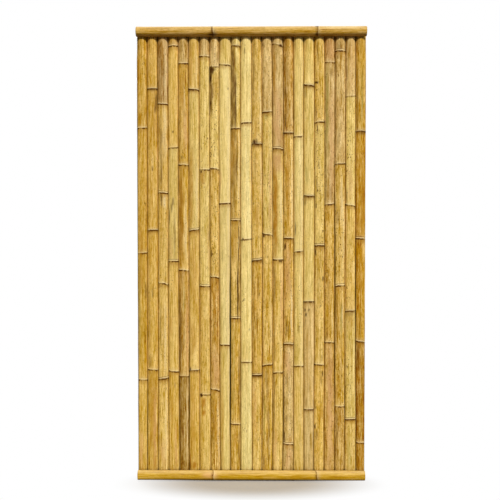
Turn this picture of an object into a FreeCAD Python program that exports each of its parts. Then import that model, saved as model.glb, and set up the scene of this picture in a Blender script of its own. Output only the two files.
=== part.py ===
import FreeCAD, Part
import os
from math import cos, pi, sin

# Bamboo fence panel: a row of upright culms held between split culms at the top and the bottom.
# The origin is on the ground in the middle of the row, +Z is up and the front faces -Y.

# Panel: its height, the room between neighbouring canes and the room between canes and rails
PANEL_HEIGHT = 1829.0
SIDE_GAP = 0.4
SEAT_GAP = 0.2

# Canes: usual diameter over the rings, wall, how far the sawn tops end below the rails' top edge
CANE_DIAMETER = 41.5
CANE_WALL = 5.0
TOP_SETBACK = 3.0

# Culms: narrow flats round the skin, how far a ring stands proud of the internode below it,
# and the height of the sloping ledge between them
CULM_FLATS = 20
RING_RISE = 0.8
RING_LEDGE = 2.5

# Rails: culms split lengthways, with a septum left at each ring, ring places measured from the middle
RAIL_DIAMETER = 41.0
RAIL_WALL = 5.0
RAIL_SEPTUM = 4.0
RAIL_RINGS = (-155.0, 264.0)

# Canes from left to right: how much thicker than usual, and the height of each ring above the ground
CANES = (
    (-1.0, (407, 921, 1424)),
    (1.5, (448, 1014, 1581)),
    (-1.0, (412, 798, 1164, 1520)),
    (-1.0, (442, 889, 1345, 1752)),
    (0.5, (422, 852, 1276, 1682)),
    (0.5, (446, 1014, 1578)),
    (0.5, (347, 788, 1257, 1710)),
    (-2.5, (367, 824, 1261, 1668)),
    (2.0, (550, 1122, 1676)),
    (1.5, (227, 658, 1054, 1422, 1752)),
    (-1.0, (480, 977, 1445)),
    (1.0, (427, 893, 1360)),
    (-0.5, (468, 997, 1488)),
    (1.5, (437, 895, 1341, 1756)),
    (-0.5, (146, 553, 981, 1404)),
    (0.0, (464, 928, 1390)),
    (-0.5, (288, 726, 1152, 1594)),
    (0.5, (470, 952, 1447)),
    (0.0, (560, 1118, 1685)),
    (1.5, (300, 790, 1280, 1731)),
    (-1.0, (248, 688, 1114, 1550)),
    (-2.5, (152, 564, 980, 1410)),
)

# Sizes that follow from the ones above
DIAMETERS = [CANE_DIAMETER + extra for extra, rings in CANES]
WIDEST = max(DIAMETERS)
PANEL_WIDTH = sum(DIAMETERS) + SIDE_GAP * (len(CANES) - 1)
CANE_LENGTH = PANEL_HEIGHT - TOP_SETBACK
SEAT = WIDEST / 2 + SEAT_GAP
RAIL_RADIUS = RAIL_DIAMETER / 2

ORIGIN = FreeCAD.Vector(0, 0, 0)
ACROSS = FreeCAD.Vector(0, 1, 0)


def rings_between(rings, start, end):
    """The rings that a culm sawn at start and end keeps, clear of both cuts."""
    return [ring for ring in rings if start + RING_LEDGE < ring < end - RING_LEDGE]


def culm_outline(rings, start, end, radius):
    """Height and radius along a culm's skin: it steps out at each ring and narrows towards the next."""
    waist = radius - RING_RISE
    sawn = radius - RING_RISE / 2
    outline = [(start, sawn)]
    for ring in rings_between(rings, start, end):
        outline += [(ring - RING_LEDGE, waist), (ring, radius)]
    return outline + [(end, sawn)]


def flats(height, radius):
    """Regular polygon across a culm, with corners to the front, back and sides."""
    turns = [2 * pi * corner / CULM_FLATS for corner in range(CULM_FLATS)]
    corners = [FreeCAD.Vector(radius * cos(turn), radius * sin(turn), height) for turn in turns]
    return Part.makePolygon(corners + corners[:1])


def loft(outline):
    """Upright solid through the polygons at each height and radius of an outline."""
    return Part.makeLoft([flats(height, radius) for height, radius in outline], True, True)


def cane(diameter, rings):
    """A whole culm standing on the ground, sawn at both ends and hollow."""
    hollow = diameter / 2 - CANE_WALL
    bore = loft([(0, hollow), (CANE_LENGTH, hollow)])
    return loft(culm_outline(rings, 0, CANE_LENGTH, diameter / 2)).cut(bore)


def split_culm(front):
    """Half of a culm laid along X, hollow between the septa at its rings, with its back or front split off."""
    end = PANEL_WIDTH / 2
    hollow = RAIL_RADIUS - RAIL_WALL
    half = loft(culm_outline(RAIL_RINGS, -end, end, RAIL_RADIUS))
    floor = -end
    for ring in rings_between(RAIL_RINGS, -end, end):
        half = half.cut(loft([(floor, hollow), (ring - RAIL_SEPTUM / 2, hollow)]))
        floor = ring + RAIL_SEPTUM / 2
    half = half.cut(loft([(floor, hollow), (end, hollow)]))
    corner = FreeCAD.Vector(-RAIL_RADIUS, -RAIL_RADIUS if front else 0, -end)
    half = half.common(Part.makeBox(RAIL_DIAMETER, RAIL_RADIUS, 2 * end, corner))
    half.rotate(ORIGIN, ACROSS, 90)
    return half


def canes():
    """Canes side by side from the left end, their fronts in one line so that all meet the front rails."""
    left = -PANEL_WIDTH / 2
    for number, (extra, rings) in enumerate(CANES, start=1):
        diameter = CANE_DIAMETER + extra
        shape = cane(diameter, rings)
        shape.translate(FreeCAD.Vector(left + diameter / 2, (diameter - WIDEST) / 2, 0))
        left += diameter + SIDE_GAP
        yield f"cane_{number:02d}", shape


def rails():
    """Split culms across the fronts and backs of the canes, flush with the panel's four corners."""
    for level, height in (("top", PANEL_HEIGHT - RAIL_RADIUS), ("bottom", RAIL_RADIUS)):
        for side, seat in (("front", -SEAT), ("back", SEAT)):
            shape = split_culm(side == "front")
            shape.translate(FreeCAD.Vector(0, seat, height))
            yield f"{level}_{side}_rail", shape


os.makedirs("parts", exist_ok=True)
for name, piece in [*canes(), *rails()]:
    piece.Solids[0].exportStep(f"parts/{name}.step")
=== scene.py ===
import bpy
import numpy as np
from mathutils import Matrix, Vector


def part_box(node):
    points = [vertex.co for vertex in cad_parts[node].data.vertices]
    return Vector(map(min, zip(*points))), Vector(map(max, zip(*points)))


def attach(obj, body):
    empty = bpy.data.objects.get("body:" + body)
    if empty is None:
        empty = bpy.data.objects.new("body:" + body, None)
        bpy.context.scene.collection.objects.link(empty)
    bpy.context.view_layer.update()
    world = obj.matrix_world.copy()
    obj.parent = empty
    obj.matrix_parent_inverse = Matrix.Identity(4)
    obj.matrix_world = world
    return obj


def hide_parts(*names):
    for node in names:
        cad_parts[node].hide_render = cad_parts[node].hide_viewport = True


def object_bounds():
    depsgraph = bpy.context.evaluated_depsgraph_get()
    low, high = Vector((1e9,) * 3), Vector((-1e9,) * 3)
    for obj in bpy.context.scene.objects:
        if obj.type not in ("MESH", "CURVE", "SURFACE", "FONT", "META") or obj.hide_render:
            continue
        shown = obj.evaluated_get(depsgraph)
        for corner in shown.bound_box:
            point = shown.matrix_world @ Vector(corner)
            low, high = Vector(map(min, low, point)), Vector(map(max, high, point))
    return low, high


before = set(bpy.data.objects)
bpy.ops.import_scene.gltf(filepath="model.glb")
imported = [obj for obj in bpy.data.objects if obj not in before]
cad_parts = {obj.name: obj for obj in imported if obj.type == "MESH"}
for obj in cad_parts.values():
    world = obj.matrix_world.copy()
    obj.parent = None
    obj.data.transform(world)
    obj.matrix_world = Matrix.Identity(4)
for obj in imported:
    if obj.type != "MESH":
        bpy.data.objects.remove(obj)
cad_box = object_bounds()


# Standing canes
# Whole bamboo culms, dried with their skin on and sawn to one length, with hardly a slit between neighbours.
# A septum closes the hollow at every ring, where the fallen sheath left its scar. Nailed rails hold the row.

# Tones of dried skin as screen colours: from pale to burnt, then weathered ones, then two of the rails
TONES = {
    "cream": (246, 221, 147),
    "straw": (239, 212, 135),
    "wheat": (229, 197, 114),
    "gold": (225, 186, 100),
    "honey": (218, 175, 84),
    "ochre": (209, 165, 70),
    "amber": (199, 150, 37),
    "burnt": (179, 130, 23),
    "buff": (217, 182, 114),
    "sand": (207, 172, 105),
    "tan": (207, 164, 84),
    "drab": (198, 157, 91),
    "dun": (193, 154, 89),
    "bark": (175, 135, 57),
    "sunned": (196, 152, 62),
    "brass": (184, 142, 8),
}

# Each cane from left to right: the tone of every internode from the foot up, how weathered its skin is,
# and how strongly each ring is scarred
CANE_LOOKS = (
    ("honey ochre ochre ochre", 0.35, (0.8, 0.55, 0.85)),
    ("ochre honey honey honey", 0.4, (0.6, 0.75, 0.65)),
    ("gold gold gold gold dun", 0.5, (0.9, 0.8, 0.9, 0.8)),
    ("honey gold wheat gold tan", 0.3, (0.75, 0.9, 0.4, 0.85)),
    ("bark tan honey honey sand", 0.5, (0.3, 0.8, 0.85, 0.8)),
    ("honey gold wheat gold", 0.35, (0.75, 0.9, 0.8)),
    ("gold gold wheat wheat sand", 0.45, (0.35, 0.9, 0.7, 0.85)),
    ("ochre tan gold wheat buff", 0.7, (0.8, 0.85, 0.8, 0.3)),
    ("wheat straw straw wheat", 0.25, (0.75, 0.8, 0.75)),
    ("honey honey gold gold wheat straw", 0.55, (0.6, 0.95, 0.9, 0.6, 0.55)),
    ("straw straw cream straw", 0.3, (0.5, 0.45, 0.8)),
    ("gold honey gold gold", 0.6, (1.0, 0.95, 0.9)),
    ("honey gold wheat buff", 0.6, (0.65, 0.6, 0.85)),
    ("gold gold wheat sand sand", 0.5, (0.6, 0.85, 0.95, 0.55)),
    ("buff buff honey gold tan", 0.7, (0.95, 0.9, 0.8, 0.7)),
    ("gold wheat straw wheat", 0.3, (0.55, 0.85, 0.65)),
    ("buff buff wheat wheat wheat", 0.3, (0.6, 0.75, 0.85, 0.85)),
    ("honey gold wheat gold", 0.55, (0.8, 0.95, 0.8)),
    ("tan honey sand drab", 0.6, (0.7, 0.7, 0.55)),
    ("tan honey gold buff sand", 0.65, (0.6, 0.95, 0.55, 0.9)),
    ("gold wheat gold wheat buff", 0.5, (0.9, 0.45, 0.8, 0.25)),
    ("burnt burnt amber amber ochre", 0.45, (0.6, 0.85, 0.95, 0.6)),
)

# How far each gap wanders to the right of the gap between the solids, in mm at the foot, middle and top
GAP_DRIFT = (
    (-3.5, 0.0, 1.0),
    (-2.5, 0.0, -1.5),
    (0.0, 0.0, 1.0),
    (3.0, 0.5, 1.0),
    (0.0, 0.0, -1.0),
    (0.0, 0.0, 0.0),
    (3.5, 0.5, -1.0),
    (4.0, -1.5, -1.0),
    (-0.5, 0.0, 3.0),
    (-3.0, -3.0, -3.0),
    (4.0, 1.5, 0.5),
    (-0.5, 1.5, -2.0),
    (2.0, 2.0, -2.0),
    (-0.5, 2.0, -1.0),
    (1.0, 2.0, -2.0),
    (3.0, -0.8, -1.5),
    (0.5, 2.0, -1.0),
    (0.0, 0.5, -1.0),
    (2.0, -1.5, -1.0),
    (-2.0, -2.0, -2.0),
    (4.5, -1.6, -3.0),
)

# Marks on the skin: cane, kind, height in mm, place from -1 at the left edge to 1 at the right edge,
# half height in mm, half width as a share of half the cane that narrows towards its edges, and strength
# The darkest kind, listed last below, is painted shade in deep crevices and along the first cane's left edge
MARKS = (
    (1, "honey", 1665, -0.45, 50, 0.2, 0.5),
    (1, "freckle", 1675, 0.4, 80, 0.32, 0.5),
    (1, "freckle", 1115, 0.5, 40, 0.22, 0.6),
    (1, "honey", 960, -0.15, 75, 0.28, 0.7),
    (1, "honey", 825, -0.25, 50, 0.38, 0.6),
    (1, "stain", 770, 0.7, 35, 0.22, 0.7),
    (1, "knot", 605, 0.6, 55, 0.12, 0.35),
    (1, "olive", 680, -0.55, 195, 0.22, 0.5),
    (1, "rose", 125, -0.25, 75, 0.48, 0.5),
    (1, "painted_shade", 815, -0.9, 770, 0.13, 0.8),
    (2, "honey", 1475, 0.45, 100, 0.44, 0.5),
    (2, "stain", 1525, 0.75, 40, 0.36, 0.9),
    (2, "freckle", 1275, 0.05, 40, 0.3, 0.6),
    (2, "knot", 1263, -0.05, 10, 0.12, 0.5),
    (2, "stain", 650, -0.6, 130, 0.16, 0.4),
    (2, "knot", 760, 0.05, 20, 0.1, 0.5),
    (2, "stain", 485, -0.55, 25, 0.34, 0.5),
    (2, "honey", 285, 0.05, 140, 0.58, 0.5),
    (2, "rose", 215, 0.45, 150, 0.28, 0.5),
    (2, "honey", 75, 0.45, 25, 0.22, 0.6),
    (2, "painted_shade", 230, -0.95, 175, 0.20, 0.7),
    (3, "stain", 1645, -0.45, 125, 0.44, 0.45),
    (3, "knot", 1635, 0.3, 100, 0.1, 0.35),
    (3, "bleach_and_highlight", 1650, 0.65, 120, 0.26, 0.6),
    (3, "stain", 1320, -0.35, 145, 0.3, 0.6),
    (3, "bleach_and_highlight", 1405, 0.4, 110, 0.44, 0.5),
    (3, "knot", 1225, -0.2, 50, 0.12, 0.5),
    (3, "knot", 1135, -0.3, 25, 0.16, 0.8),
    (3, "bleach_and_highlight", 1130, 0.4, 25, 0.32, 0.9),
    (3, "freckle", 825, -0.55, 30, 0.36, 0.5),
    (3, "bleach_and_highlight", 580, 0.4, 150, 0.26, 0.5),
    (3, "stain", 630, -0.55, 80, 0.2, 0.4),
    (3, "bleach_and_highlight", 225, 0.6, 160, 0.24, 0.5),
    (3, "rose", 105, 0, 55, 0.5, 0.4),
    (4, "knot", 1410, 0, 5, 0.14, 0.8),
    (4, "knot", 1130, 0.05, 14, 0.1, 0.8),
    (4, "knot", 1105, -0.35, 20, 0.1, 0.7),
    (4, "knot", 1070, -0.7, 30, 0.14, 0.7),
    (4, "stain", 990, 0.35, 85, 0.2, 0.6),
    (4, "rose", 945, -0.5, 40, 0.34, 0.4),
    (4, "freckle", 815, -0.2, 60, 0.4, 0.5),
    (4, "honey", 630, -0.4, 40, 0.32, 0.5),
    (4, "honey", 285, -0.3, 60, 0.2, 0.6),
    (4, "stain", 386, 0.35, 10, 0.1, 0.6),
    (4, "rose", 135, 0.35, 85, 0.22, 0.5),
    (5, "honey", 1570, -0.2, 85, 0.58, 0.5),
    (5, "bleach_and_highlight", 1525, 0.2, 85, 0.16, 0.6),
    (5, "rose", 1415, 0.45, 75, 0.38, 0.6),
    (5, "stain", 1395, -0.65, 100, 0.26, 0.4),
    (5, "knot", 1308, -0.2, 7, 0.12, 0.8),
    (5, "freckle", 1315, 0.1, 25, 0.38, 0.6),
    (5, "knot", 1237, 0.2, 8, 0.1, 0.6),
    (5, "stain", 1070, -0.45, 185, 0.48, 0.3),
    (5, "honey", 1070, -0.45, 185, 0.48, 0.8),
    (5, "bleach_and_highlight", 1020, 0.45, 135, 0.28, 0.5),
    (5, "stain", 820, -0.3, 25, 0.3, 0.4),
    (5, "olive", 740, 0.1, 55, 0.16, 0.7),
    (5, "stain", 600, -0.65, 175, 0.38, 0.8),
    (5, "stain", 590, 0.1, 60, 0.14, 0.6),
    (5, "rose", 585, 0.65, 145, 0.22, 0.6),
    (5, "stain", 230, -0.45, 180, 0.42, 0.35),
    (5, "bleach_and_highlight", 225, 0.65, 160, 0.16, 0.7),
    (5, "painted_shade", 330, -0.85, 280, 0.11, 0.6),
    (6, "honey", 1675, -0.55, 80, 0.36, 0.5),
    (6, "bleach_and_highlight", 1675, 0.6, 80, 0.24, 0.4),
    (6, "honey", 1180, -0.55, 160, 0.42, 0.65),
    (6, "bleach_and_highlight", 1165, 0.6, 130, 0.3, 0.5),
    (6, "honey", 835, 0, 140, 0.5, 0.4),
    (6, "honey", 580, -0.2, 70, 0.5, 0.5),
    (6, "painted_shade", 400, -0.95, 200, 0.22, 0.6),
    (6, "honey", 255, -0.2, 155, 0.5, 0.4),
    (6, "honey", 60, -0.1, 14, 0.45, 1),
    (6, "stain", 57, -0.8, 16, 0.4, 0.8),
    (6, "honey", 75, -0.75, 35, 0.24, 1),
    (6, "knot", 453, -0.75, 8, 0.22, 0.9),
    (7, "freckle", 1365, 0.15, 30, 0.58, 0.8),
    (7, "knot", 1250, -0.6, 5, 0.24, 0.9),
    (7, "honey", 1225, -0.25, 25, 0.48, 0.7),
    (7, "stain", 990, 0.85, 20, 0.18, 0.6),
    (7, "rose", 950, 0.7, 85, 0.26, 0.3),
    (7, "knot", 346, -0.7, 8, 0.24, 1),
    (7, "honey", 315, -0.25, 20, 0.36, 1.1),
    (7, "honey", 274, -0.25, 12, 0.36, 1),
    (8, "bleach_and_highlight", 1720, -0.3, 45, 0.54, 0.3),
    (8, "stain", 1710, 0.75, 25, 0.22, 0.5),
    (8, "knot", 1660, -0.3, 8, 0.72, 1.2),
    (8, "knot", 1650, -0.6, 13, 0.55, 1.1),
    (8, "knot", 1632, -0.75, 28, 0.45, 1),
    (8, "stain", 1555, -0.65, 75, 0.5, 0.9),
    (8, "knot", 1524, -0.7, 8, 0.18, 0.8),
    (8, "honey", 1590, 0.3, 55, 0.44, 0.4),
    (8, "freckle", 1390, -0.1, 130, 0.62, 0.6),
    (8, "knot", 921, -0.65, 14, 0.2, 0.9),
    (8, "freckle", 925, -0.3, 90, 0.64, 0.7),
    (8, "honey", 790, -0.6, 25, 0.26, 0.5),
    (8, "honey", 710, -0.1, 55, 0.26, 0.9),
    (8, "stain", 620, -0.3, 30, 0.1, 0.5),
    (8, "rose", 455, 0.1, 75, 0.62, 0.5),
    (8, "honey", 255, -0.1, 90, 0.32, 0.6),
    (8, "stain", 190, -0.45, 140, 0.34, 0.5),
    (8, "bleach_and_highlight", 190, 0.65, 140, 0.26, 0.6),
    # A pale stripe the whole height of the right side: a painted highlight
    (9, "bleach_and_highlight", 920, 0.65, 845, 0.3, 0.5),
    (9, "knot", 1582, 0.6, 5, 0.14, 0.6),
    (9, "rose", 1215, -0.75, 40, 0.22, 0.5),
    (9, "knot", 910, -0.4, 25, 0.1, 0.4),
    (9, "honey", 225, -0.5, 160, 0.22, 0.4),
    (9, "painted_shade", 515, 0.96, 360, 0.26, 1),
    (10, "stain", 1700, -0.55, 50, 0.42, 1),
    (10, "stain", 1560, -0.5, 185, 0.62, 0.85),
    (10, "knot", 1530, 0.0, 110, 0.12, 0.9),
    (10, "honey", 1330, -0.4, 85, 0.46, 0.6),
    (10, "knot", 1390, -0.1, 25, 0.1, 0.6),
    (10, "knot", 1350, 0.2, 45, 0.12, 0.7),
    (10, "knot", 1280, 0.35, 90, 0.12, 0.7),
    (10, "stain", 1195, -0.3, 140, 0.5, 0.55),
    (10, "bleach_and_highlight", 1235, 0.75, 160, 0.22, 0.7),
    (10, "freckle", 1110, 0.6, 45, 0.28, 1),
    (10, "honey", 970, -0.1, 80, 0.58, 0.4),
    (10, "knot", 960, 0.72, 85, 0.18, 0.9),
    (10, "knot", 765, 0.5, 115, 0.16, 1),
    (10, "stain", 760, 0.7, 95, 0.32, 0.6),
    (10, "olive", 440, -0.45, 195, 0.32, 0.4),
    (10, "stain", 395, 0.75, 155, 0.26, 0.8),
    (10, "stain", 130, 0.75, 80, 0.22, 0.8),
    (10, "honey", 165, 0.1, 40, 0.28, 0.6),
    (10, "painted_shade", 515, -0.96, 360, 0.24, 0.9),
    (11, "knot", 1732, -0.2, 12, 0.1, 0.7),
    (11, "stain", 1295, -0.6, 20, 0.14, 0.3),
    (11, "knot", 978, -0.6, 6, 0.22, 0.8),
    (11, "freckle", 740, -0.5, 55, 0.42, 0.8),
    (11, "knot", 734, -0.45, 5, 0.14, 0.6),
    (11, "knot", 613, 0.6, 5, 0.16, 0.5),
    (11, "freckle", 195, -0.1, 30, 0.46, 1),
    (12, "stain", 1645, -0.6, 110, 0.3, 0.6),
    (12, "bleach_and_highlight", 1495, 0.7, 120, 0.2, 0.6),
    (12, "knot", 1368, -0.4, 11, 0.36, 0.9),
    (12, "stain", 1280, -0.35, 45, 0.24, 0.4),
    (12, "bleach_and_highlight", 1235, 0.8, 100, 0.22, 0.6),
    (12, "honey", 1070, 0.05, 45, 0.48, 0.4),
    (12, "stain", 650, -0.6, 205, 0.18, 0.5),
    (12, "stain", 785, 0.35, 50, 0.1, 0.6),
    (12, "stain", 630, 0.05, 60, 0.1, 0.5),
    (12, "knot", 757, 0.5, 7, 0.12, 0.6),
    (12, "rose", 305, -0.55, 100, 0.34, 0.4),
    (12, "knot", 165, 0.4, 5, 0.1, 0.5),
    (13, "knot", 1757, -0.8, 6, 0.18, 0.7),
    (13, "stain", 1570, -0.75, 55, 0.18, 0.4),
    (13, "olive", 1474, -0.2, 14, 0.52, 0.5),
    (13, "rose", 1170, 0.6, 165, 0.38, 0.5),
    (13, "freckle", 1175, 0.5, 100, 0.28, 0.7),
    (13, "knot", 992, -0.7, 6, 0.28, 1),
    (13, "knot", 906, -0.1, 5, 0.1, 0.7),
    (13, "stain", 815, 0.2, 20, 0.1, 0.5),
    (13, "bleach_and_highlight", 630, 0.7, 100, 0.2, 0.5),
    (13, "stain", 390, -0.1, 70, 0.3, 0.6),
    (13, "stain", 185, 0.25, 140, 0.24, 0.7),
    (13, "olive", 250, -0.55, 85, 0.28, 0.5),
    (13, "stain", 340, -0.75, 45, 0.22, 0.5),
    (13, "stain", 70, -0.6, 30, 0.24, 0.7),
    (14, "knot", 1753, 0.5, 6, 0.28, 1),
    (14, "honey", 1650, -0.6, 95, 0.3, 0.7),
    (14, "rose", 1465, -0.05, 115, 0.68, 0.6),
    (14, "honey", 1304, 0.35, 12, 0.4, 0.5),
    (14, "honey", 1105, -0.5, 195, 0.46, 1.0),
    (14, "rose", 1290, 0, 40, 0.9, 0.7),
    (14, "bleach_and_highlight", 1075, 0.6, 165, 0.24, 0.7),
    (14, "knot", 891, 0.55, 6, 0.32, 1),
    (14, "stain", 800, -0.65, 70, 0.3, 0.6),
    (14, "rose", 725, 0.65, 150, 0.26, 0.6),
    (14, "stain", 570, -0.65, 85, 0.26, 0.5),
    (14, "bleach_and_highlight", 515, 0.65, 55, 0.2, 0.5),
    (14, "stain", 295, -0.75, 130, 0.26, 0.6),
    (14, "rose", 130, -0.5, 75, 0.46, 0.4),
    (15, "stain", 1590, -0.35, 180, 0.46, 0.45),
    (15, "knot", 1565, -0.6, 20, 0.14, 0.6),
    (15, "knot", 1450, -0.65, 25, 0.14, 0.7),
    (15, "bleach_and_highlight", 1480, 0.65, 55, 0.24, 0.5),
    (15, "honey", 1205, -0.15, 195, 0.34, 0.75),
    (15, "bleach_and_highlight", 1165, 0.7, 175, 0.2, 0.7),
    (15, "knot", 948, -0.75, 12, 0.24, 1),
    (15, "rose", 850, -0.15, 115, 0.56, 0.5),
    (15, "stain", 620, -0.45, 40, 0.12, 0.9),
    (15, "stain", 610, 0.05, 30, 0.1, 0.8),
    (15, "bleach_and_highlight", 685, 0.6, 110, 0.22, 0.8),
    (15, "rose", 480, -0.05, 55, 0.56, 0.5),
    (15, "stain", 405, -0.45, 20, 0.2, 0.6),
    (15, "stain", 252, -0.35, 14, 0.14, 0.6),
    (15, "knot", 175, -0.8, 25, 0.28, 0.7),
    (15, "honey", 160, 0.4, 20, 0.26, 0.8),
    (15, "rose", 90, 0.05, 40, 0.56, 0.5),
    (15, "painted_shade", 285, -0.9, 140, 0.17, 0.8),
    (16, "knot", 1020, -0.7, 25, 0.14, 0.8),
    # A pale stripe the whole height of the right side: a painted highlight
    (16, "bleach_and_highlight", 920, 0.6, 845, 0.3, 0.4),
    (16, "freckle", 650, -0.05, 160, 0.6, 0.4),
    (16, "knot", 615, 0.05, 15, 0.1, 0.5),
    (16, "stain", 70, -0.55, 12, 0.16, 0.5),
    (17, "stain", 1565, -0.6, 20, 0.3, 0.5),
    (17, "olive", 1235, -0.5, 40, 0.32, 0.5),
    (17, "stain", 1130, -0.65, 15, 0.3, 0.5),
    (17, "knot", 693, 0, 5, 0.18, 0.8),
    (17, "knot", 693, -0.75, 6, 0.2, 0.8),
    (17, "knot", 674, -0.6, 7, 0.22, 1),
    (17, "honey", 475, -0.3, 140, 0.18, 0.4),
    (17, "stain", 646, -0.65, 14, 0.16, 0.5),
    (17, "stain", 370, -0.1, 25, 0.1, 0.5),
    (17, "stain", 315, -0.5, 20, 0.26, 0.4),
    (18, "stain", 1725, -0.35, 45, 0.14, 0.7),
    (18, "stain", 1725, 0.6, 30, 0.12, 0.6),
    (18, "knot", 1606, -0.5, 5, 0.42, 0.9),
    (18, "freckle", 1525, -0.2, 70, 0.58, 0.7),
    (18, "stain", 1485, -0.75, 30, 0.2, 0.6),
    (18, "knot", 1420, -0.45, 20, 0.12, 0.8),
    (18, "freckle", 1285, -0.2, 150, 0.68, 0.9),
    (18, "knot", 1280, -0.2, 15, 0.12, 0.8),
    (18, "knot", 1200, -0.55, 25, 0.12, 0.6),
    (18, "knot", 1114, -0.75, 10, 0.24, 0.6),
    (18, "freckle", 1050, 0.6, 90, 0.36, 0.7),
    (18, "knot", 926, -0.8, 14, 0.22, 0.9),
    (18, "olive", 805, -0.2, 70, 0.16, 0.4),
    (18, "knot", 820, 0.75, 10, 0.24, 0.9),
    (18, "knot", 710, 0.2, 5, 0.16, 0.7),
    (18, "stain", 496, 0.5, 14, 0.14, 0.6),
    (18, "knot", 434, 0.7, 12, 0.18, 0.8),
    (18, "stain", 420, 0.4, 30, 0.24, 0.5),
    (18, "stain", 310, -0.8, 20, 0.22, 0.6),
    (18, "knot", 320, 0, 4, 0.18, 0.6),
    (18, "honey", 275, 0.4, 30, 0.38, 0.5),
    (18, "knot", 219, -0.75, 9, 0.2, 0.9),
    (18, "stain", 185, -0.55, 20, 0.32, 0.6),
    (19, "rose", 1735, -0.1, 40, 0.68, 0.5),
    (19, "olive", 1505, -0.6, 175, 0.36, 0.7),
    (19, "stain", 1640, 0.3, 15, 0.22, 0.4),
    (19, "rose", 1355, 0.4, 225, 0.52, 0.5),
    (19, "stain", 1165, 0.3, 30, 0.22, 0.5),
    (19, "olive", 1235, -0.75, 100, 0.26, 0.4),
    (19, "stain", 795, -0.35, 60, 0.12, 0.4),
    (19, "freckle", 815, -0.65, 80, 0.38, 0.7),
    (19, "stain", 590, -0.6, 20, 0.36, 0.4),
    (19, "bleach_and_highlight", 665, 0.6, 70, 0.16, 0.5),
    (19, "rose", 290, 0.1, 240, 0.58, 0.6),
    (20, "stain", 1752, -0.15, 14, 0.38, 0.4),
    (20, "stain", 1645, -0.75, 30, 0.18, 0.5),
    (20, "honey", 1505, -0.35, 50, 0.4, 0.4),
    (20, "stain", 1375, -0.35, 40, 0.3, 0.4),
    (20, "bleach_and_highlight", 1140, 0.3, 85, 0.26, 0.7),
    (20, "freckle", 1000, -0.15, 115, 0.58, 0.9),
    (20, "bleach_and_highlight", 1000, 0.7, 115, 0.22, 0.5),
    (20, "stain", 1065, -0.35, 30, 0.32, 0.5),
    (20, "stain", 665, -0.65, 110, 0.32, 0.5),
    (20, "olive", 655, 0.3, 65, 0.18, 0.8),
    (20, "bleach_and_highlight", 665, 0.6, 55, 0.2, 0.6),
    (20, "stain", 450, 0.4, 120, 0.1, 0.4),
    (20, "honey", 355, -0.55, 35, 0.28, 0.5),
    (20, "stain", 185, -0.6, 100, 0.28, 0.5),
    (20, "honey", 220, 0.05, 55, 0.28, 0.4),
    (20, "painted_shade", 915, -0.9, 225, 0.18, 0.8),
    (20, "painted_shade", 465, -0.9, 145, 0.18, 0.6),
    (21, "rose", 1675, 0.15, 100, 0.4, 0.3),
    (21, "stain", 1645, -0.8, 30, 0.18, 0.6),
    (21, "freckle", 1325, -0.25, 90, 0.5, 0.8),
    (21, "rose", 1205, -0.05, 70, 0.58, 0.4),
    (21, "stain", 1150, -0.75, 30, 0.18, 0.7),
    (21, "freckle", 765, -0.65, 30, 0.38, 0.8),
    (21, "honey", 645, -0.05, 30, 0.58, 0.4),
    (21, "stain", 679, -0.05, 10, 0.78, 0.45),
    (21, "freckle", 430, -0.25, 80, 0.6, 0.7),
    (21, "knot", 462, -0.55, 5, 0.16, 0.7),
    (21, "knot", 406, -0.15, 12, 0.1, 0.5),
    (21, "olive", 110, -0.25, 55, 0.3, 0.4),
    (21, "painted_shade", 320, -0.95, 65, 0.20, 0.7),
    (22, "olive", 1545, 0.2, 110, 0.16, 0.8),
    (22, "stain", 1540, -0.65, 120, 0.22, 0.6),
    (22, "stain", 1406, 0.2, 10, 0.52, 0.6),
    (22, "honey", 1135, 0.4, 140, 0.44, 0.6),
    (22, "honey", 795, -0.05, 60, 0.24, 0.6),
    (22, "stain", 635, 0.05, 55, 0.12, 0.6),
    (22, "stain", 505, -0.45, 55, 0.36, 0.5),
    (22, "honey", 95, 0.2, 45, 0.42, 0.5),
    (22, "painted_shade", 745, -0.95, 195, 0.22, 0.8),
    (12, "knot", 1357, 0, 8, 1.3, 0.4),
    (12, "knot", 1372, -0.1, 12, 0.25, 0.7),
    (12, "knot", 890, 0, 7, 1.4, 0.3),
    (12, "knot", 424, -0.2, 7, 1.2, 0.35),
    (17, "knot", 1591, -0.2, 6, 1.3, 0.3),
    (17, "knot", 1149, 0, 6, 1.3, 0.3),
    (17, "knot", 724, 0.1, 6, 1.2, 0.35),
    (15, "knot", 1402, -0.2, 6, 1.2, 0.25),
    (22, "knot", 1408, 0.1, 9, 1.2, 0.25),
    (2, "knot", 1579, -0.1, 5, 1.2, 0.25),
    (6, "knot", 1576, -0.4, 5, 0.9, 0.3),
)

# Rings whose scar has spread into a dark band across the whole front: heights in mm for each cane, then the
# place, half height, half width and strength of every band
BANDED_RINGS = {
    2: (1013, 1580),
    3: (411,),
    6: (445, 1013, 1577),
    10: (1751,),
    12: (426, 892, 1359),
    13: (1487,),
    14: (1340,),
    15: (552, 980, 1403),
    17: (287, 1151, 1593),
    18: (951,),
    21: (247, 687),
    22: (563, 1409),
}
RING_BAND = (0, 8, 1.5, 0.55)
MARKS += tuple((cane, "stain", ring, *RING_BAND) for cane, rings in BANDED_RINGS.items() for ring in rings)

# Kinds of mark, and the screen colour that each lays over the tone
MARK_KINDS = {
    "honey": (184, 130, 36),
    "olive": (168, 152, 80),
    "rose": (214, 164, 108),
    "stain": (108, 70, 18),
    # Pale bleach: partly sun-bleached skin, partly a painted highlight on lit right sides of canes and rail
    # tops
    "bleach_and_highlight": (240, 212, 152),
    "knot": (72, 38, 2),
    "freckle": (112, 70, 4),
    # Painted shade: darkest brown laid in deep crevices, on the first cane's left edge and under the bottom
    # rail
    "painted_shade": (34, 20, 3),
}

# How marks lie: their narrowest width near an edge, how far they sway from a straight line, and how quickly
EDGE_SHARE = 0.35
MARK_SWAY = 0.3
SWAY_PACE = 55

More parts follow.
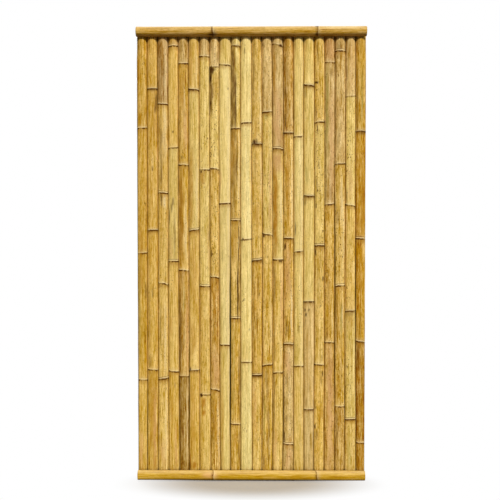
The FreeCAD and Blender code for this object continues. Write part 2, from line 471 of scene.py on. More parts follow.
# Sizes in metres: wall, eased sawn edge, half the slit between neighbours, rise of a ring over the skin
CANE_WALL = 0.005
SAWN_EDGE = 0.0006
HALF_SLIT = 0.000005
RING_RISE = 0.0008

# Rings: how far a ring's line is tilted, sways and ripples, and how far its field reaches, all in mm
RING_STRAY = np.array((2.0, 0.8, 0.5))
RING_FIELD = 80

# Section of a culm: the power that fills it out, and from which height and over what it goes round again
FULL_POWER = 0.48
FULL_TOP = 1.69
FULL_FADE = 0.06

# Waves in the gaps: their seed, their number, their height and their shortest and longest length in metres
GAP_SEED = 100
WAVES = 3
GAP_WAVE = 0.0002
GAP_WAVE_LENGTHS = (0.25, 0.7)

# How far an internode strays from its tone, and the share of the two outer flanks that gets no painted
# crevice shade
TONE_STRAY = 0.02
UNSHADED_FLANK = 0.1

# Feet darker towards the bottom: the height where it starts to fade, then strength and fading height of two
# coats, a broad one and a thin painted shadow just above the bottom rail's upper edge
DARKENING_START = 0.04
FOOT_DARKENING = ((0.25, 0.09), (0.6, 0.004))

# Feet that have stood on damp ground: how high the damp fades, and the share of each colour it adds
DAMP_HEIGHT = 0.4
DAMP_TINT = (-0.07, 0.0, 0.03, 0.0)

# Rows up a culm, closer together at a ring, set on a fine grid and clear of the cuts, and columns round it,
# closer together on the front
ROW_STEP = 0.004
ROW_GRID = 0.0005
CUT_MARGIN = 0.002
RING_ROWS = np.arange(-0.012, 0.0145, 0.0009)
FRONT = np.linspace(-np.pi / 2, np.pi / 2, 39)
BACK = np.linspace(np.pi / 2, 1.5 * np.pi, 15)
ROUND = np.concatenate([FRONT[:-1], BACK[:-1]])


def paint(red, green, blue):
    """Linear colour of a screen colour: the display curve undone for each of its three shares."""
    share = np.array((red, green, blue)) / 255
    linear = np.where(share <= 0.04045, share / 12.92, ((share + 0.055) / 1.055) ** 2.4)
    return (*linear.tolist(), 1.0)


def ring_heights(name):
    """Heights where a culm's solid steps out: every second level of its corners, without the sawn ends."""
    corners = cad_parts[name].data.vertices
    points = np.empty(len(corners) * 3, np.float32)
    corners.foreach_get("co", points)
    return np.unique(points[2::3].round(4)).astype(float)[2:-1:2]


def waves(dice, shortest, longest, places):
    """Sum of sines along a piece, whose lengths and phases are seeded."""
    length = dice.uniform(shortest, longest, WAVES)
    phase = dice.uniform(0, 2 * np.pi, WAVES)
    return np.sin(2 * np.pi * places[:, None] / length + phase).sum(1)


def gap_line(number, height):
    """Where a cane meets its right-hand neighbour: the middle of the solids' gap, moved by the parabola
    through its drift at foot, middle and top and by small waves. The two outer edges only waver inwards."""
    wave = GAP_WAVE * waves(np.random.default_rng(GAP_SEED + number), *GAP_WAVE_LENGTHS, height)
    if number == 0:
        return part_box("cane_01")[0].x + np.abs(wave)
    if number == len(CANE_LOOKS):
        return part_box(f"cane_{number:02d}")[1].x - np.abs(wave)
    gap = (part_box(f"cane_{number:02d}")[1].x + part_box(f"cane_{number + 1:02d}")[0].x) / 2
    foot, middle, top = GAP_DRIFT[number - 1]
    share = height / cad_box[1].z
    bend = foot * (1 - share) * (1 - 2 * share) + 4 * middle * share * (1 - share)
    bend += top * share * (2 * share - 1)
    return gap + bend / 1000 + wave


def ring_swell(rise):
    """How far the skin stands out near a ring, 1 at most: bell curves over the rise in mm for a wide flare,
    a ridge above the scar and the scar's own rim, less one for the groove between the two."""
    flare = 0.45 * np.exp(-((rise / 14) ** 2))
    ridge = 0.55 * np.exp(-(((rise - 2.4) / 2.4) ** 2))
    rim = 0.30 * np.exp(-(((rise + 1.2) / 0.9) ** 2))
    groove = 0.90 * np.exp(-(((rise - 0.1) / 0.8) ** 2))
    return flare + ridge + rim - groove


def nearest_ring(places, rings, turn, dice):
    """Signed distance in mm of each point from the nearest ring, whose line round the culm is tilted by one
    seeded sine and wavers by two more; the number of that ring; and how many rings lie below the point."""
    tilt, sway, ripple = dice.normal(0, RING_STRAY[:, None], (RING_STRAY.size, rings.size))
    line = tilt * np.sin(turn)[:, None] + sway * np.sin(2 * turn)[:, None]
    line = line + ripple * np.cos(5 * turn)[:, None]
    rise = 1000 * (places[:, None, None] - rings) - line
    near = np.abs(rise).argmin(-1)
    return np.take_along_axis(rise, near[..., None], -1)[..., 0], near, (rise > 0).sum(-1)


def full(reach, height):
    """A sine or cosine filled out to a lower power, so that the oval drawn with both is squared off. Near
    the top rail it goes back to the plain sine or cosine."""
    share = np.clip((height - FULL_TOP) / FULL_FADE, 0, 1)
    power = FULL_POWER + (1 - FULL_POWER) * share**2 * (3 - 2 * share)
    return np.sign(reach) * np.abs(reach) ** power[:, None]


def marked(number, kind, height, turn):
    """Strongest mark of one kind at each point of the front: ovals that fade by the fourth powers of the
    height and of the place across the cane from their middle, whose line sways on a sine of the height."""
    strongest = np.zeros((height.size, turn.size))
    place = full(np.sin(turn), height)
    for cane, sort, middle, side, tall, wide, strength in MARKS:
        if (cane, sort) == (number, kind):
            up = (1000 * height - middle) / tall
            reach = wide * max(np.sqrt(1 - side**2), EDGE_SHARE)
            sway = side + MARK_SWAY * reach * np.sin(SWAY_PACE * height + middle)
            across = (place - sway[:, None]) / reach
            strongest = np.maximum(strongest, strength * np.exp(-(up**4)[:, None] - across**4))
    return strongest * (np.cos(turn) > 0)


def knit(name, rows, spare, closing, fields, finishes, is_skin):
    """Object from rows of points, each joined to the next all the way round, with spare points and the
    closing faces at its ends. Fields are laid on its points, and faces that are not skin take the second
    finish."""
    count, around = rows.shape[:2]
    index = np.arange(count * around).reshape(count, around)
    turn = np.roll(index, -1, axis=1)
    quads = np.stack([index[:-1], turn[:-1], turn[1:], index[1:]], -1).reshape(-1, 4)
    mesh = bpy.data.meshes.new(name)
    points = np.concatenate([rows.reshape(-1, 3), spare])
    mesh.from_pydata(points, [], [*quads.tolist(), *closing], shade_flat=False)
    for key, values in fields.items():
        flat = values.reshape(count * around, -1)
        flat = np.concatenate([flat, np.repeat(flat[-1:], len(spare), 0)]).astype(np.float32)
        kind, slot = ("FLOAT_COLOR", "color") if flat.shape[1] == 4 else ("FLOAT", "value")
        mesh.attributes.new(key, kind, "POINT").data.foreach_set(slot, flat.ravel())
    finish = np.ones(len(mesh.polygons), np.int32)
    finish[: len(quads)] = 1 - is_skin.ravel()
    for material in finishes:
        mesh.materials.append(material)
    mesh.polygons.foreach_set("material_index", finish)
    mesh.set_sharp_from_angle(angle=0.8)
    mesh.update()
    piece = bpy.data.objects.new(name, mesh)
    bpy.context.scene.collection.objects.link(piece)
    return piece


def culm(number, name, finishes):
    """A standing culm: rows of ovals that fill the room between its two gap lines and swell at the rings
    away from its neighbours. They run from the lowest septum down the hollow, round the sawn foot, up the
    skin, over the sawn top and down to the highest septum."""
    tones, wear, scars = CANE_LOOKS[number - 1]
    dice = np.random.default_rng(number)
    low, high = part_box(name)
    rings = ring_heights(name)
    steps = np.concatenate([np.arange(0, high.z, ROW_STEP), (rings[:, None] + RING_ROWS).ravel()])
    steps = np.unique((steps / ROW_GRID).round()) * ROW_GRID
    skin = steps[(steps > CUT_MARGIN) & (steps < high.z - CUT_MARGIN)]
    skin = np.concatenate([[SAWN_EDGE], skin, [high.z - SAWN_EDGE]])
    height = np.concatenate([[rings[0], 0, 0], skin, [high.z, high.z, rings[-1]]])
    inset = np.concatenate([[CANE_WALL, CANE_WALL, SAWN_EDGE], 0 * skin, [SAWN_EDGE, CANE_WALL, CANE_WALL]])
    left = gap_line(number - 1, height) + HALF_SLIT
    right = gap_line(number, height) - HALF_SLIT
    half = (right - left) / 2
    front = -low.y
    back = np.minimum(half + (high.y - low.y) / 2 - front, high.y)
    deep = np.where(np.cos(ROUND) > 0, front, back[:, None])
    ring, near, below = nearest_ring(height, rings, ROUND, dice)
    swell = RING_RISE * (ring_swell(ring) - 1) * (1 - np.sin(ROUND) ** 4)
    across = (half - inset)[:, None] + swell
    depth = deep - inset[:, None] + swell
    rows = np.empty((*ring.shape, 3))
    rows[..., 0] = ((left + right) / 2)[:, None] + across * full(np.sin(ROUND), height)
    rows[..., 1] = -depth * full(np.cos(ROUND), height)
    rows[..., 2] = height[:, None]
    shades = np.array([paint(*TONES[tone]) for tone in tones.split()])
    shades[:, :3] *= dice.normal(1, TONE_STRAY, (len(shades), 1))
    fields = {kind: marked(number, kind, height, ROUND) for kind in MARK_KINDS}
    # Darker feet laid into the stain field; the thin coat is a painted shadow along the bottom rail's upper
    # edge
    above = np.clip(height - DARKENING_START, 0, 1)
    darker_feet = sum(strength * np.exp(-above / fade) for strength, fade in FOOT_DARKENING)
    fields["stain"] = np.maximum(fields["stain"], darker_feet[:, None])
    damp = np.exp(-height / DAMP_HEIGHT)
    fields["tone"] = shades[below] * (1 + damp[:, None, None] * np.array(DAMP_TINT))
    fields["ring"] = np.clip(ring, -RING_FIELD, RING_FIELD)
    fields["scar"] = np.array(scars)[near]
    fields["wear"] = np.full(ring.shape, wear)
    # Painted crevice shade follows the flank field; the outer flanks of the end canes get none
    is_last = number == len(CANE_LOOKS)
    flank = np.clip(-np.sin(ROUND), UNSHADED_FLANK * is_last - 1, 1 - UNSHADED_FLANK * (number == 1))
    fields["flank"] = np.broadcast_to(flank, ring.shape)
    last = rows[..., 0].size
    edge = np.arange(ROUND.size)
    following = np.roll(edge, -1)
    base = last - ROUND.size
    foot = np.stack([np.full(ROUND.size, last), following, edge], -1)
    head = np.stack([base + edge, base + following, np.full(ROUND.size, last + 1)], -1)
    is_skin = np.zeros((height.size - 1, ROUND.size), np.int32)
    is_skin[3:-3] = 1
    closing = [*foot.tolist(), *head.tolist()]
    return knit(f"culm_{number:02d}", rows, rows[[0, -1]].mean(1), closing, fields, finishes, is_skin)


class Shade:
    """One value of a shader. Arithmetic on it adds Math nodes, and node() adds any other node and gives its
    output."""

    def __init__(self, tree, socket=None):
        self.tree = tree
        self.socket = socket

    def node(self, kind, settings, sockets, output=0):
        """Adds a node of a kind, makes its settings, then sets or links its named or numbered sockets."""
        made = self.tree.nodes.new(kind)
        for key, value in settings.items():
            setattr(made, key, value)
        for key, value in sockets.items():
            if isinstance(value, Shade):
                self.tree.links.new(value.socket, made.inputs[key])
            else:
                made.inputs[key].default_value = value
        return Shade(self.tree, made.outputs[output] if len(made.outputs) else None)

    def maths(self, operation, *values):
        """Adds one Math node on these values."""
        return self.node("ShaderNodeMath", {"operation": operation}, dict(enumerate(values)))

    def __add__(self, other):
        return self.maths("ADD", self, other)

    def __radd__(self, other):
        return self.maths("ADD", other, self)

    def __sub__(self, other):
        return self.maths("SUBTRACT", self, other)

    def __rsub__(self, other):
        return self.maths("SUBTRACT", other, self)

    def __mul__(self, other):
        return self.maths("MULTIPLY", self, other)

    def __rmul__(self, other):
        return self.maths("MULTIPLY", other, self)

    def __abs__(self):
        return self.maths("ABSOLUTE", self)


def blank(name):
    """A new material with an empty node tree, and the shade that its nodes are added through."""
    material = bpy.data.materials.new(name)
    material.use_nodes = True
    material.node_tree.nodes.clear()
    return material, Shade(material.node_tree)


def field(shade, key, output="Fac"):
    """A field that was laid on the mesh."""
    return shade.node("ShaderNodeAttribute", {"attribute_name": key}, {}, output)


def grain(place, scale, detail, rough=0.6):
    """Cloudy noise with its own number of clouds per metre along each axis, and finer clouds on them."""
    spread = place.node("ShaderNodeMapping", {}, {"Vector": place, "Scale": scale})
    sockets = {"Vector": spread, "Scale": 1.0, "Detail": detail, "Roughness": rough}
    return place.node("ShaderNodeTexNoise", {}, sockets)


def band(value, low, high):
    """Smooth step from 0 at low to 1 at high."""
    sockets = {"Value": value, "From Min": low, "From Max": high}
    return value.node("ShaderNodeMapRange", {"interpolation_type": "SMOOTHSTEP"}, sockets)


def tint(colour, other, share, blend="MIX"):
    """A colour mixed towards another by a share, or blended with it in another way."""
    sockets = {0: share, 6: colour, 7: other}
    return share.node("ShaderNodeMix", {"data_type": "RGBA", "blend_type": blend}, sockets, 2)


def dim(colour, light):
    """A colour times a value."""
    return colour.node("ShaderNodeVectorMath", {"operation": "SCALE"}, {0: colour, "Scale": light})


def frost(colour, light):
    """A colour made paler or darker with much the same hue: a warm grey times a value is added, but nothing
    goes below a darkest brown."""
    warm_grey = (0.76, 0.65, 0.38)
    darkest = (0.03, 0.015, 0.002)
    sockets = {0: light, 1: warm_grey, 2: colour}
    paler = colour.node("ShaderNodeVectorMath", {"operation": "MULTIPLY_ADD"}, sockets)
    return colour.node("ShaderNodeVectorMath", {"operation": "MAXIMUM"}, {0: paler, 1: darkest})


def coat(shade, sockets):
    """Ends a material with one surface that has these values."""
    surface = shade.node("ShaderNodeBsdfPrincipled", {}, sockets)
    shade.node("ShaderNodeOutputMaterial", {}, {"Surface": surface})


def bamboo_skin(name, lie):
    """Skin of a dried culm: its tone streaked and clouded along the fibres, with marks where the fields have
    them, a dark scar under a pale rim at each ring, partly painted shade in the groove and a painted
    highlight on the ridge, a left half darkened as painted shade, and painted shade in the crevices along
    the flanks.
    Lie puts a scale along the fibres and one across them in the order of the axes."""
    material, shade = blank(name)
    place = shade.node("ShaderNodeTexCoord", {}, {}, "Object")
    wear = field(shade, "wear")
    ring = field(shade, "ring")
    scar = field(shade, "scar")
    fibre = grain(place, lie(9, 330), 3.0, 0.7)
    peck = grain(place, lie(55, 260), 2.0, 0.7)
    stripe = grain(place, lie(1.6, 70), 2.0)
    streak = grain(place, lie(3.2, 150), 3.0)
    vein = grain(place, lie(2.6, 210), 2.0)
    cloud = grain(place, lie(16, 55), 3.0)
    fleck = grain(place, lie(9, 60), 6.0, 0.88)
    ragged = grain(place, lie(45, 170), 2.0)
    dots = grain(place, lie(130, 230), 1.0)
    worn = 0.3 + 1.4 * ragged
    light = 1.0 + (cloud - 0.5) * (0.15 + 0.55 * wear)
    colour = dim(field(shade, "tone", "Color"), light)
    colour = tint(colour, (0.87, 0.78, 0.55, 1), band(stripe, 0.5, 0.6) * (0.2 + 0.6 * wear), "MULTIPLY")
    colour = tint(colour, (0.82, 0.69, 0.42, 1), band(streak, 0.53, 0.62) * (0.15 + 0.5 * wear), "MULTIPLY")
    pale = band(vein, 0.53, 0.63) * 0.1 + (fibre - 0.5) * (1.3 + wear)
    pale = pale + (peck - 0.5) * (0.25 + 1.3 * wear)
    colour = frost(colour, pale + (fleck - 0.5) * (0.45 + 1.5 * wear))
    # The pale marks among these are partly painted highlight on the lit right sides of canes and tops of
    # rails
    for kind in ("honey", "olive", "rose", "bleach_and_highlight"):
        colour = tint(colour, paint(*MARK_KINDS[kind]), field(shade, kind) * worn)
    colour = tint(colour, paint(*MARK_KINDS["stain"]), field(shade, "stain") * worn * 0.85)
    under = band(ring, -34, -4) * (1 - band(ring, -2.5, -0.5)) * scar
    colour = tint(colour, paint(172, 122, 42), band(under * worn, 0.25, 0.9) * 0.5)
    bloom = (1 - band(ring, 4, 22)) * band(ring, 1, 4)
    colour = tint(colour, paint(232, 206, 152), bloom * (0.1 + 0.3 * cloud))
    speck = band(dots, 0.63, 0.68) * (0.9 * wear + 1.2 * field(shade, "freckle"))
    colour = tint(colour, paint(*MARK_KINDS["freckle"]), speck)
    # Pale rim above each ring, partly a painted highlight on the ridge; dark scar line partly painted shade
    # in the groove
    wobble = ring + (ragged - 0.5) * 5.0
    rim = 1 - band(abs(wobble - 4.4), 1.0, 2.8)
    colour = tint(colour, paint(246, 220, 160), rim * scar * 0.65)
    broken = 0.45 + 0.65 * band(stripe + 0.5 * (ragged - 0.5), 0.38, 0.56)
    line = (1 - band(abs(wobble + 0.4), 2.0, 4.2)) * broken
    colour = tint(colour, paint(98, 58, 0), line * (0.5 + 0.6 * scar))
    crease = (1 - band(abs(wobble - 8.5), 0.6, 1.8)) * band(scar, 0.82, 0.92)
    colour = tint(colour, paint(96, 58, 12), crease * 0.7)
    knot = field(shade, "knot") * worn
    colour = tint(colour, paint(*MARK_KINDS["knot"]), knot)
    flank = field(shade, "flank")
    # Painted shade: the left half of each cane darker, as if turned away from the light
    colour = tint(colour, (0.95, 0.92, 0.81, 1), band(flank, 0.0, 0.16), "MULTIPLY")
    # Painted shade in the crevices: a thin dark line along each flank where neighbours meet
    dirt = (band(flank, 0.93, 0.985) + band(0 - flank, 0.97, 1.0)) * (0.3 + 0.7 * band(cloud, 0.35, 0.6))
    colour = tint(colour, paint(72, 38, 0), dirt)
    # Painted shade where those darkest marks lie: crevices, the first cane's left edge, the bottom rail's
    # underside
    colour = tint(colour, paint(*MARK_KINDS["painted_shade"]), field(shade, "painted_shade") * 0.95)
    height = 0.5 * fibre + 0.5 * fleck + 0.6 * cloud - 0.8 * knot - 0.5 * line
    sockets = {"Height": height, "Strength": 0.5, "Distance": 0.0008}
    sockets = {
        "Base Color": colour,
        "Roughness": 0.45 + 0.15 * wear + 0.2 * (fibre - 0.5) + 0.4 * dirt,
        "Normal": shade.node("ShaderNodeBump", {}, sockets),
        "Specular IOR Level": 0.06,
    }
    coat(shade, sockets)
    return material


def sawn_bamboo(name, lie):
    """Bare wood of a cut or split culm: pale, with dark fibre ends and dirt that has worked in."""
    material, shade = blank(name)
    place = shade.node("ShaderNodeTexCoord", {}, {}, "Object")
    pores = grain(place, (900, 900, 900), 1.0)
    strand = grain(place, lie(12, 420), 3.0)
    dirt = grain(place, (28, 28, 28), 4.0)
    colour = tint(dim(field(shade, "tone", "Color"), 0.85), paint(222, 190, 134), 0.4 + 0.3 * strand)
    colour = tint(colour, paint(132, 92, 48), band(pores, 0.56, 0.7) * 0.6)
    colour = tint(colour, paint(120, 96, 66), band(dirt, 0.42, 0.72) * 0.6)
    sockets = {"Height": strand + 0.5 * pores, "Strength": 0.4, "Distance": 0.0006}
    sockets = {
        "Base Color": colour,
        "Roughness": 0.7 + 0.2 * strand,
        "Normal": shade.node("ShaderNodeBump", {}, sockets),
        "Specular IOR Level": 0.25,
    }
    coat(shade, sockets)
    return material


def upright(along, across):
    """Scales for fibres that stand upright."""
    return (across, across, along)


cane_finishes = (bamboo_skin("cane_skin", upright), sawn_bamboo("cane_cut", upright))
for number in range(1, len(CANE_LOOKS) + 1):
    name = f"cane_{number:02d}"
    piece = culm(number, name, cane_finishes)
    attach(piece, "root")
    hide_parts(name)


# Rails
# Two culms split lengthways, one pair of halves across the tops of the canes and one across their feet.
# The round skin faces out and the split face lies on the canes. Nails from the back draw each pair together.

# Each rail: its tones from left to right, how weathered it is, how dark its rings are scarred, and a seed
RAIL_LOOKS = {
    "top_front_rail": ("sunned sunned sunned", 0.35, (0.4, 0.3), 41),
    "bottom_front_rail": ("brass brass brass", 0.05, (0.35, 0.15), 42),
    "top_back_rail": ("tan sunned tan", 0.7, (0.8, 0.7), 43),
    "bottom_back_rail": ("sunned ochre tan", 0.5, (0.6, 0.8), 44),
}

# Sizes in metres: the rings' places from the middle, wall, septum, the pith left open in it, rise of a ring,
# height and lengths of the waves in the skin, and spacing of the rows
RAIL_RINGS = np.array((-0.155, 0.264))
RAIL_WALL = 0.005
RAIL_SEPTUM = 0.004
RAIL_PITH = 0.0006
RAIL_RISE = 0.0003
RAIL_WAVE = 0.00006
RAIL_WAVE_LENGTHS = (0.2, 0.6)
RAIL_STEP = 0.006

# Upper side paler, partly sun-bleached and partly a painted highlight, and lower side painted lighter as
# if lit from below: strength, angle above the middle and half width in radians
RAIL_BLEACH_AND_HIGHLIGHT = (0.4, 1.05, 0.5)
RAIL_UNDERSIDE_LIGHT = (0.25, -0.6, 0.5)

# Marks on the rails: kind, place along the rail in metres, place from -1 at the lower edge to 1 at the
# upper, half length in metres, half width as an angle in radians, and strength
RAIL_MARKS = {
    "top_front_rail": (
        ("stain", -0.153, -0.3, 0.01, 0.8, 0.6),
        ("knot", -0.155, -0.75, 0.018, 0.4, 0.9),
        ("stain", 0.262, 0.0, 0.007, 1.2, 0.4),
        ("knot", 0.261, 0.85, 0.006, 0.3, 0.7),
        ("knot", 0.262, -0.75, 0.008, 0.3, 0.6),
        # A pale band the length of the upper edge, partly a painted highlight
        ("bleach_and_highlight", 0.0, 0.95, 0.6, 0.75, 0.7),
        ("bleach_and_highlight", 0.365, 0.8, 0.095, 0.6, 0.85),
    ),
    "bottom_front_rail": (
        ("rose", -0.165, 0.3, 0.03, 0.7, 0.6),
        ("stain", -0.157, 0.0, 0.006, 0.9, 0.5),
        ("stain", 0.266, 0.0, 0.01, 1.0, 0.4),
        # Painted shade along the underside of the bottom rail
        ("painted_shade", 0.0, -0.97, 0.6, 0.7, 1.0),
    ),
}

# Columns round the half culm, from its lower edge to its upper one
ARC = np.linspace(-np.pi / 2, np.pi / 2, 33)


def level(along, across):
    """Scales for fibres that lie along the rails."""
    return (along, across, across)


def bell(turn, strength, angle, wide):
    """Bell curve round a rail, about an angle."""
    return strength * np.exp(-(((turn - angle) / wide) ** 2))


def split_culm(name, finishes):
    """Half of a culm: an outer arc and an inner one joined at the split face, carried along X. The outer arc
    swells at the rings, and the inner one closes to a septum there."""
    tones, wear, scars, seed = RAIL_LOOKS[name]
    dice = np.random.default_rng(seed)
    low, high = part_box(name)
    out = -1 if high.y < 0 else 1
    face = high.y if out < 0 else low.y
    axis = (low.z + high.z) / 2
    radius = (high.z - low.z) / 2
    steps = np.concatenate([np.arange(low.x, high.x, RAIL_STEP), (RAIL_RINGS[:, None] + RING_ROWS).ravel()])
    steps = np.unique((steps / ROW_GRID).round()) * ROW_GRID
    steps = steps[(steps > low.x + CUT_MARGIN) & (steps < high.x - CUT_MARGIN)]
    steps = np.concatenate([[low.x, low.x + SAWN_EDGE], steps, [high.x - SAWN_EDGE, high.x]])[::out]
    turn = np.concatenate([ARC, ARC[::-1]])
    ring, near, below = nearest_ring(steps, RAIL_RINGS, turn, dice)
    eased = np.where(np.abs(np.abs(steps) - high.x) < 1e-6, SAWN_EDGE, 0)
    waver = RAIL_WAVE * (waves(dice, *RAIL_WAVE_LENGTHS, steps) - WAVES)
    outer = radius + RAIL_RISE * (ring_swell(ring[:, : ARC.size]) - 1) + (waver - eased)[:, None]
    closed = np.abs(steps[:, None] - RAIL_RINGS).min(1) < RAIL_SEPTUM / 2
    inner = np.where(closed, RAIL_PITH, radius - RAIL_WALL)[:, None] + 0 * outer
    reach = np.concatenate([outer, inner], 1)
    rows = np.empty((*reach.shape, 3))
    rows[..., 0] = steps[:, None]
    rows[..., 1] = face + out * reach * np.cos(turn)
    rows[..., 2] = axis + reach * np.sin(turn)
    shades = np.array([paint(*TONES[tone]) for tone in tones.split()])
    fields = {kind: np.zeros(ring.shape) for kind in MARK_KINDS}
    for kind, middle, side, long, wide, strength in RAIL_MARKS.get(name, ()):
        along = (steps - middle) / long
        across = (turn - np.arcsin(side)) / wide
        fields[kind] = np.maximum(fields[kind], strength * np.exp(-(along**4)[:, None] - across**2))
    # Upper side paler, partly a painted highlight; lower side painted lighter, as if lit from below
    fields["bleach_and_highlight"] = np.maximum(fields["bleach_and_highlight"], bell(turn, *RAIL_BLEACH_AND_HIGHLIGHT))
    underside_light = 1 + bell(turn, *RAIL_UNDERSIDE_LIGHT)
    fields["tone"] = shades[below] * underside_light[:, None]
    fields["ring"] = np.clip(ring, -RING_FIELD, RING_FIELD)
    fields["scar"] = np.array(scars)[near]
    fields["wear"] = np.full(ring.shape, wear)
    fields["flank"] = np.zeros(ring.shape)
    first = np.arange(ARC.size - 1)
    across = 2 * ARC.size - 1 - first
    start = np.stack([first + 1, first, across, across - 1], -1)
    end = (len(steps) - 1) * turn.size + start[:, ::-1]
    is_skin = np.zeros((len(steps) - 1, turn.size), np.int32)
    is_skin[:, : ARC.size - 1] = 1
    closing = [*start.tolist(), *end.tolist()]
    title = name.replace("rail", "split_culm")
    return knit(title, rows, np.empty((0, 3)), closing, fields, finishes, is_skin)


rail_finishes = (bamboo_skin("rail_skin", level), sawn_bamboo("rail_split", level))
for name in RAIL_LOOKS:
    piece = split_culm(name, rail_finishes)
    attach(piece, "root")
    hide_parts(name)


# Nails
# Flat-headed galvanised wire nails, one for each cane, driven from the back through both halves of a rail.
# Their heads are drawn down onto the skin of the back rails, and the points end inside the front ones.

# Sizes in metres: radius and height of a head, and how far it strays across the cane. Then a head's sides,
# and its outline from the underside to the crown as shares of radius and height
HEAD_RADIUS = 0.0032
HEAD_HEIGHT = 0.0007
NAIL_STRAY = 0.003
HEAD_SIDES = 14
HEAD_OUTLINE = np.array(((0.35, -0.4), (0.96, -0.4), (1.0, 0.1), (0.94, 0.6), (0.7, 0.9), (0.35, 1.0)))


def nail_heads(name, places):
    """Low domes about +Y: rings that grow to the full radius, rise over a rounded edge and close again."""
    spin = np.arange(HEAD_SIDES) * 2 * np.pi / HEAD_SIDES
    radius = HEAD_RADIUS * HEAD_OUTLINE[:, 0]
    lift = HEAD_HEIGHT * HEAD_OUTLINE[:, 1]
    dome = np.empty((radius.size, spin.size, 3))
    dome[..., 0] = radius[:, None] * np.sin(spin)
    dome[..., 1] = lift[:, None]
    dome[..., 2] = radius[:, None] * np.cos(spin)
    ends = np.array(((0, lift[0], 0), (0, lift[-1], 0)))
    one = np.concatenate([dome.reshape(-1, 3), ends])
    points = (places[:, None] + one).reshape(-1, 3)
    index = np.arange(radius.size * spin.size).reshape(radius.size, spin.size)
    turn = np.roll(index, -1, axis=1)
    quads = np.stack([index[:-1], turn[:-1], turn[1:], index[1:]], -1).reshape(-1, 4)
    foot = np.stack([np.full(spin.size, index.size), turn[0], index[0]], -1)
    head = np.stack([index[-1], turn[-1], np.full(spin.size, index.size + 1)], -1)
    shift = np.arange(len(places))[:, None, None] * len(one)
    faces = [*(quads + shift).reshape(-1, 4).tolist()]
    faces += [*(foot + shift).reshape(-1, 3).tolist(), *(head + shift).reshape(-1, 3).tolist()]
    mesh = bpy.data.meshes.new(name)
    mesh.from_pydata(points, [], faces, shade_flat=False)
    mesh.update()
    made = bpy.data.objects.new(name, mesh)
    bpy.context.scene.collection.objects.link(made)
    return made


def galvanised_steel(name):
    """Dull zinc with spangled patches and a little rust."""
    material, shade = blank(name)
    place = shade.node("ShaderNodeTexCoord", {}, {}, "Object")
    spangle = grain(place, (700, 700, 700), 2.0)
    rust = grain(place, (160, 160, 160), 3.0)
    colour = tint(paint(112, 112, 110), paint(160, 160, 156), spangle)
    colour = tint(colour, paint(120, 72, 40), band(rust, 0.5, 0.68) * 0.8)
    sockets = {
        "Base Color": colour,
        "Roughness": 0.4 + 0.3 * spangle,
        "Metallic": 1 - band(rust, 0.5, 0.68) * 0.8,
    }
    coat(shade, sockets)
    return material


def box_middle(name):
    """Middle of a solid's box, across the panel and up it."""
    low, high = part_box(name)
    return (low.x + high.x) / 2, (low.z + high.z) / 2


canes_at = np.array([box_middle(f"cane_{number:02d}")[0] for number in range(1, len(CANE_LOOKS) + 1)])
rails_at = np.array([box_middle(name)[1] for name in ("top_back_rail", "bottom_back_rail")])
nail_dice = np.random.default_rng(7)
heads = np.empty((rails_at.size, canes_at.size, 3))
heads[..., 0] = canes_at + nail_dice.uniform(-NAIL_STRAY, NAIL_STRAY, heads.shape[:2])
heads[..., 1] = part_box("top_back_rail")[1].y - RAIL_RISE - HEAD_HEIGHT
heads[..., 2] = rails_at[:, None] + nail_dice.uniform(-NAIL_STRAY / 2, NAIL_STRAY / 2, heads.shape[:2])
nails = nail_heads("nail_heads", heads.reshape(-1, 3))
nails.data.materials.append(galvanised_steel("nail_zinc"))
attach(nails, "root")


# Floor and light
# A pale floor that fades to white away from the panel's foot, and a white surround. A key lamp stands to the
# upper right with a wide soft fill on the same side, and another soft lamp lights the back.

# Half the floor's length and depth in metres, and how its pale spot is moved and scaled before it fades
FLOOR_HALF = np.array((0.75, 0.45, 0.0))
SPOT_SHIFT = (0.0, 0.06, 0.0)
SPOT_SCALE = (1.75, 4.2, 0.0)

floor_mesh = bpy.data.meshes.new("floor")
corners = np.array(((-1, -1, 0), (1, -1, 0), (1, 1, 0), (-1, 1, 0))) * FLOOR_HALF
floor_mesh.from_pydata(corners, [], [(0, 1, 2, 3)])
floor = bpy.data.objects.new("floor", floor_mesh)
bpy.context.scene.collection.objects.link(floor)


def seen_directly(shade):
    """1 for rays from the camera and for those mirrored or passed on by a surface, 0 for the rest."""
    camera = shade.node("ShaderNodeLightPath", {}, {}, "Is Camera Ray")
    glossy = shade.node("ShaderNodeLightPath", {}, {}, "Is Glossy Ray")
    through = shade.node("ShaderNodeLightPath", {}, {}, "Is Transmission Ray")
    return camera.maths("MAXIMUM", camera.maths("MAXIMUM", camera, glossy), through)


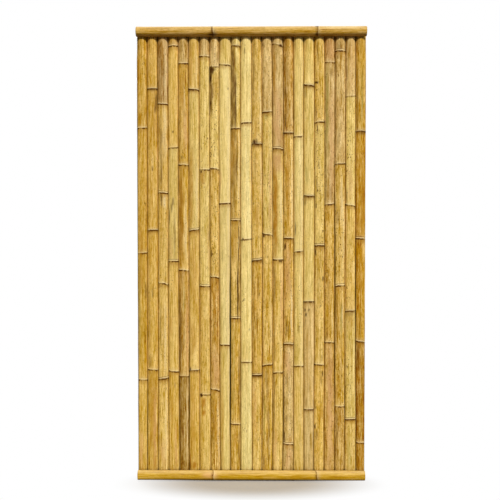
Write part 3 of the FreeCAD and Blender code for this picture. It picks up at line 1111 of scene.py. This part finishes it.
floor_pale, floor_shade = blank("floor_pale")
spot = floor_shade.node("ShaderNodeTexCoord", {}, {}, "Object")
spot = floor_shade.node("ShaderNodeVectorMath", {"operation": "ADD"}, {0: spot, 1: SPOT_SHIFT})
spot = floor_shade.node("ShaderNodeVectorMath", {"operation": "MULTIPLY"}, {0: spot, 1: SPOT_SCALE})
away = band(floor_shade.node("ShaderNodeVectorMath", {"operation": "LENGTH"}, {0: spot}, "Value"), 0.3, 1.0)
ground = floor_shade.node("ShaderNodeBsdfDiffuse", {}, {"Color": paint(186, 181, 172)})
white = floor_shade.node("ShaderNodeEmission", {}, {"Color": (1, 1, 1, 1), "Strength": 1.0})
sockets = {0: away * seen_directly(floor_shade), 1: ground, 2: white}
surface = floor_shade.node("ShaderNodeMixShader", {}, sockets)
floor_shade.node("ShaderNodeOutputMaterial", {}, {"Surface": surface})
floor_mesh.materials.append(floor_pale)

world = bpy.data.worlds.new("surround")
world.use_nodes = True
world.node_tree.nodes.clear()
bpy.context.scene.world = world
sky = Shade(world.node_tree)
ambient = sky.node("ShaderNodeBackground", {}, {"Color": (1.0, 0.97, 0.92, 1), "Strength": 0.07})
plain = sky.node("ShaderNodeBackground", {}, {"Color": (1, 1, 1, 1), "Strength": 1.0})
surround = sky.node("ShaderNodeMixShader", {}, {0: seen_directly(sky), 1: ambient, 2: plain})
sky.node("ShaderNodeOutputWorld", {}, {"Surface": surround})

key_light = bpy.data.lights.new("key", "SUN")
key_light.energy = 3.45
key_light.angle = np.radians(1.5)
key = bpy.data.objects.new("key", key_light)
key.rotation_euler = (np.radians(90 - 42), 0, np.radians(15))
bpy.context.scene.collection.objects.link(key)


def soft_lamp(name, watts, place, lean, turn):
    """A wide rectangular lamp that hangs at a place, leans about X and is turned about Z in degrees."""
    light = bpy.data.lights.new(name, "AREA")
    light.shape = "RECTANGLE"
    light.size = 2.0
    light.size_y = 2.4
    light.energy = watts
    lamp = bpy.data.objects.new(name, light)
    lamp.location = place
    lamp.rotation_euler = (np.radians(lean), 0, np.radians(turn))
    bpy.context.scene.collection.objects.link(lamp)


soft_lamp("fill", 22, (2.7, -1.7, 3.1), 57, 58)
soft_lamp("back", 120, (-1.6, 2.8, 2.8), -57, 30)


# Camera
# Upright view from a little over half the panel's height, almost square to its front.
lens = bpy.data.cameras.new("camera")
lens.sensor_width = 36
lens.lens = 58.63
camera = bpy.data.objects.new("camera", lens)
camera.location = (0.0298, -3.3, 1.0354)
camera.rotation_euler = (np.radians(90 - 1.75), 0, np.radians(0.606))
bpy.context.scene.collection.objects.link(camera)
bpy.context.scene.camera = camera
bpy.context.scene.view_settings.view_transform = "Standard"
